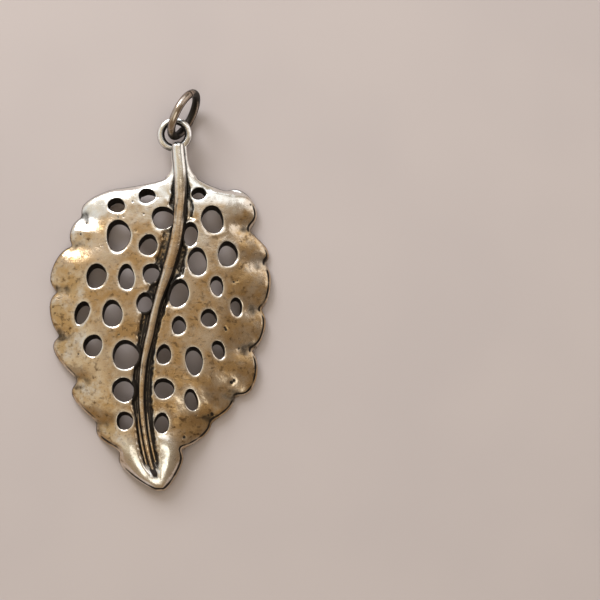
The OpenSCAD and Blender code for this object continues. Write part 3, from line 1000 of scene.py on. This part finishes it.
# The floor: a sheet of pale paper under the pendant. It lets a camera below it see the back.
paper_half = 0.6
corners = [(paper_half * x, paper_half * y, 0) for x, y in ((-1, -1), (1, -1), (1, 1), (-1, 1))]
floor_mesh = bpy.data.meshes.new("paper")
floor_mesh.from_pydata(corners, [], [(0, 1, 2, 3)])
floor = put("paper", floor_mesh)
paper = bpy.data.materials.new("pale_paper")
board = empty_board(paper)
where = board.add("ShaderNodeTexCoord", out="Object")
fibre = board.ease(board.lumps(where, 0.03), 0.3, 0.7)
tone = board.mix(fibre, (0.53, 0.472, 0.458, 1), (0.508, 0.453, 0.443, 1))
matt = board.add("ShaderNodeBsdfPrincipled", None,
                 {"Base Color": tone, "Roughness": 0.9, "Specular IOR Level": 0.2})
clear = board.add("ShaderNodeBsdfTransparent")
seen_from_below = board.add("ShaderNodeNewGeometry", out="Backfacing")
sheet_look = board.add("ShaderNodeMixShader", None, {0: seen_from_below, 1: matt, 2: clear})
board.add("ShaderNodeOutputMaterial", None, {"Surface": sheet_look})
floor_mesh.materials.append(paper)


# The light: a warm room with a large cool window beyond the top of the leaf, a cream wall on the
# left, a dark one on the right, and two softboxes. The metal mirrors the room, patch by patch.
world = bpy.data.worlds.new("room")
bpy.context.scene.world = world
board = empty_board(world)
way_out = board.add("ShaderNodeTexCoord", out="Generated")


def towards(direction, low, high):
    """Share of the room's wall that lies in a direction: 0 at the cosine low and 1 at high."""
    aim = board.add("ShaderNodeVectorMath", {"operation": "DOT_PRODUCT"},
                    {0: way_out, 1: Vector(direction).normalized()}, "Value")
    return board.ease(aim, low, high)


wall_end = towards((0, 1, 0), -0.46, -0.30)
above_horizon = towards((0, 0, 1), 0.06, 0.20)
dark_wall = towards((1, 0.15, 0.15), 0.15, 0.85) * 0.64
cream_wall = towards((-1, -0.24, 0.80), 0.80, 0.96) * 0.90 * wall_end
pale_left = towards((-0.90, 0.20, 0.42), 0.88, 0.97)
beyond_tip = towards((0.02, -0.51, 0.86), 0.916, 0.968)
ceiling = towards((0.05, 0.62, 0.78), 0.88, 0.97)
ceiling_right = towards((0.27, 0.49, 0.83), 0.952, 0.988)
window = towards((-0.12, 0.91, 0.38), 0.84, 0.93) * above_horizon
colour = board.mix(towards((0, 1, 0), -0.40, 0.50), (0.50, 0.38, 0.25, 1), (0.92, 0.76, 0.55, 1))
for share, tint in ((dark_wall, (0.24, 0.18, 0.13, 1)), (cream_wall, (1.08, 0.94, 0.70, 1)),
                    (pale_left, (1.05, 1.05, 1.02, 1)), (beyond_tip, (2.15, 2.0, 1.7, 1)),
                    (ceiling, (1.35, 1.33, 1.27, 1)), (ceiling_right, (1.75, 1.73, 1.68, 1)),
                    (window, (2.5, 2.7, 2.95, 1))):
    colour = board.mix(share, colour, tint)
sky = board.add("ShaderNodeBackground", None, {"Color": colour, "Strength": 0.70})
board.add("ShaderNodeOutputWorld", None, {"Surface": sky})


def soft_lamp(name, place, size, power, colour):
    """Square softbox at a place, turned to the middle of the frame."""
    lamp = bpy.data.lights.new(name, "AREA")
    lamp.shape = "SQUARE"
    lamp.size = size
    lamp.energy = power
    lamp.color = colour
    holder = put(name, lamp)
    holder.location = place
    holder.rotation_euler = (-Vector(place)).to_track_quat("-Z", "Y").to_euler()


daylight = (0.97, 0.98, 1.0)
soft_lamp("window", place=(-0.17, 0.32, 0.22), size=0.20, power=1.28, colour=daylight)
soft_lamp("lamp", place=(0.36, 0.18, 0.17), size=0.32, power=0.28, colour=daylight)

# The camera looks down, a little from beyond the tip, at a sheet that is 96 mm wide in the picture
view_width = 96 * MM
camera_distance = 0.42
camera_tilt = math.radians(4.5)
aim = Vector((22.4, -1.44, 2.0)) * MM
camera = bpy.data.cameras.new("camera")
camera.lens = camera.sensor_width * camera_distance / view_width
camera_holder = put("camera", camera)
camera_holder.location = aim + camera_distance * Vector((0, -math.sin(camera_tilt), math.cos(camera_tilt)))
camera_holder.rotation_euler = (camera_tilt, 0, 0)
bpy.context.scene.camera = camera_holder
bpy.context.scene.view_settings.view_transform = "Standard"
